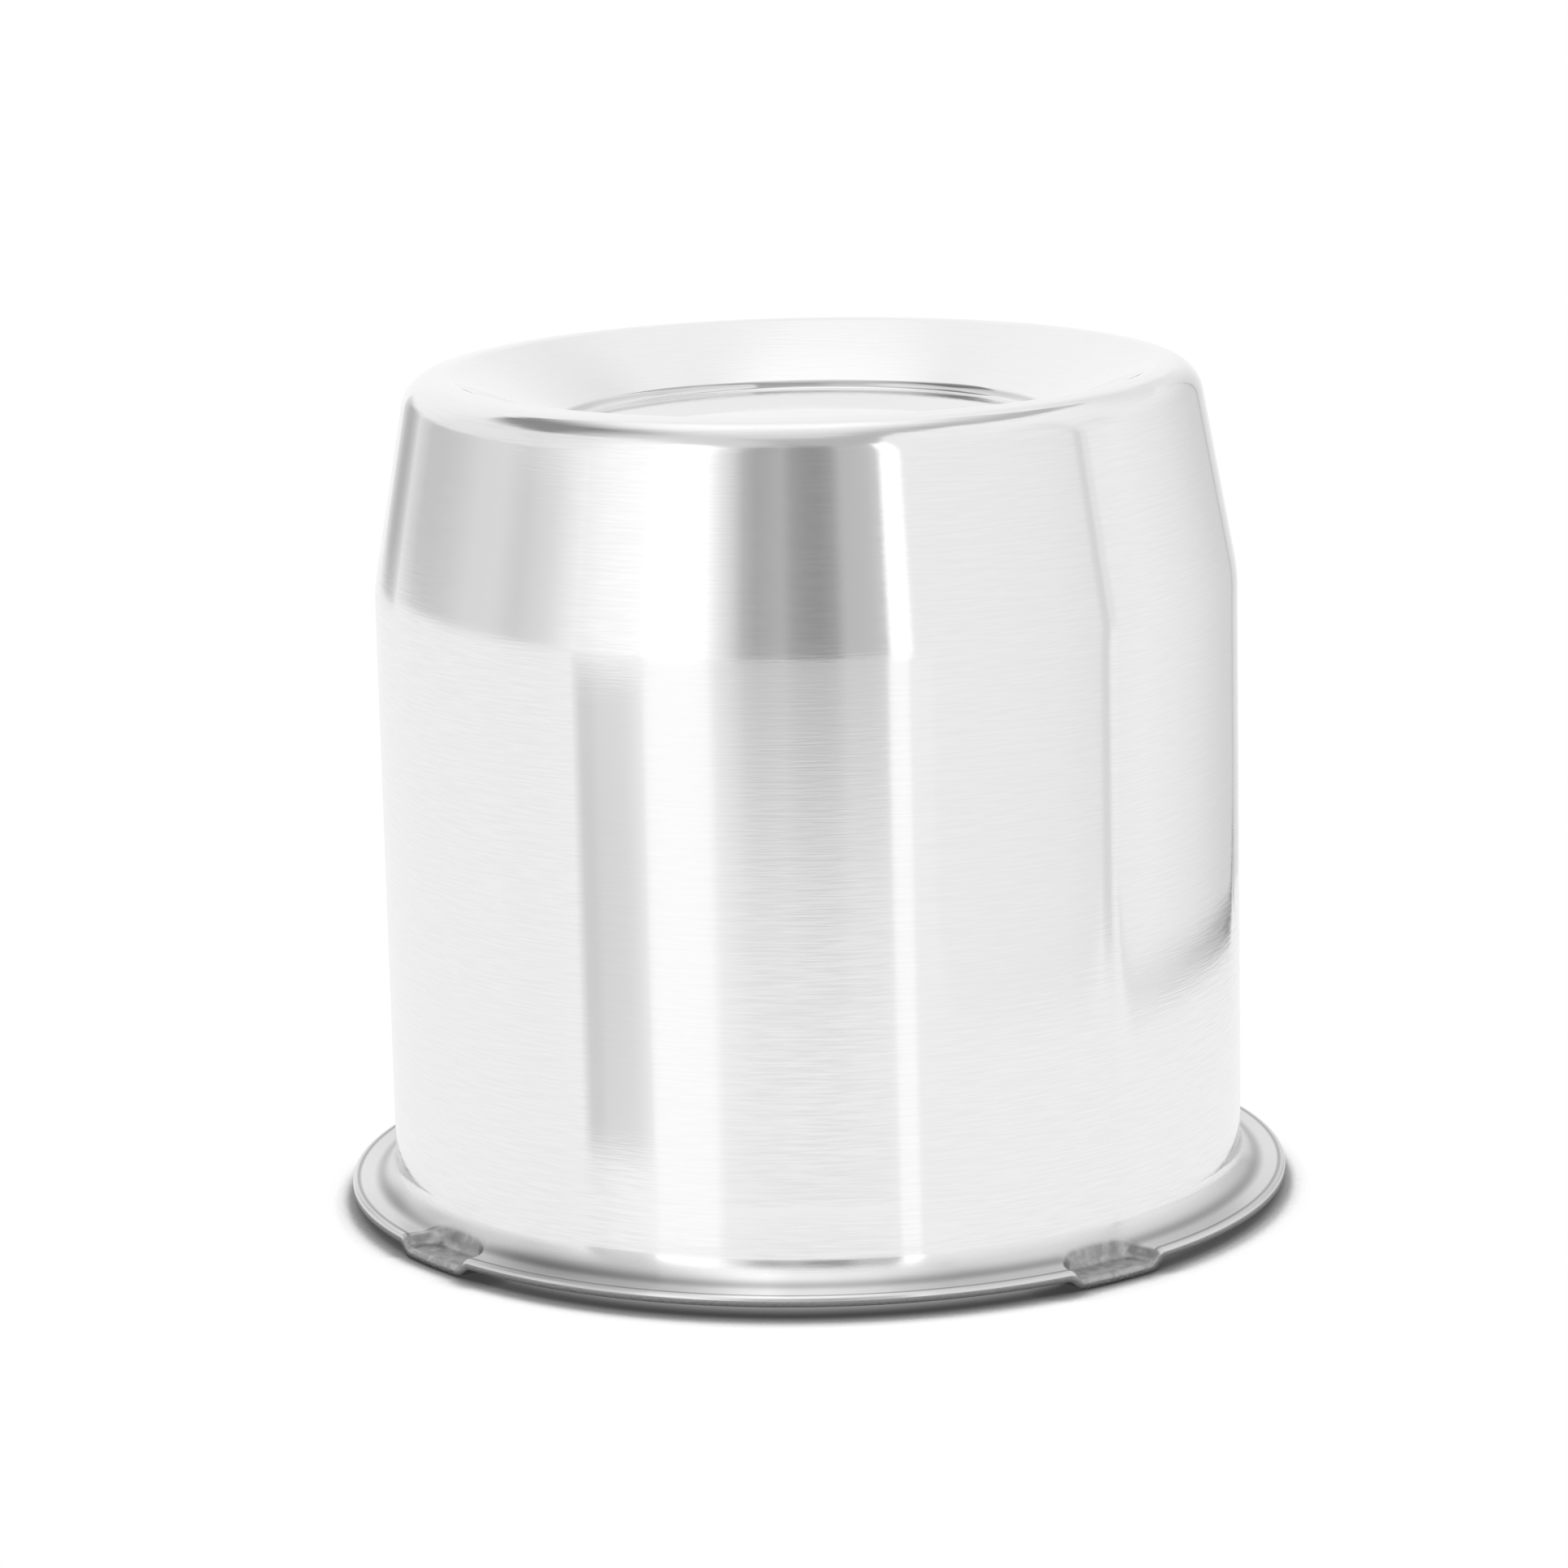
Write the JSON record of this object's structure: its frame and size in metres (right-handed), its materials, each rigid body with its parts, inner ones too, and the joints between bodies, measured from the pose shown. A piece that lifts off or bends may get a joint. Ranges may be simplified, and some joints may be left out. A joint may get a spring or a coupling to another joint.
{
  "type": "hub cap",
  "caption": "Drawn sheet-metal push-through hub cap: a closed cup with a dished face, a tapered shoulder, a round barrel and a turned-out flange with pressed nubs.",
  "frame": {"origin": "on the cap's axis, in the plane that its four pressed nubs stand on", "axes": "+Z is the cap's axis, from the open flanged end up to the closed dished face; +X lies 53 degrees round from the first nub"},
  "size_m": [0.119, 0.119, 0.1048],
  "materials": {
    "polished_sheet": "bright polished, with fine hoop lines on the barrel"
  },
  "bodies": {
    "root": {"cap_shell": "polished_sheet"}
  },
  "joints": []
}
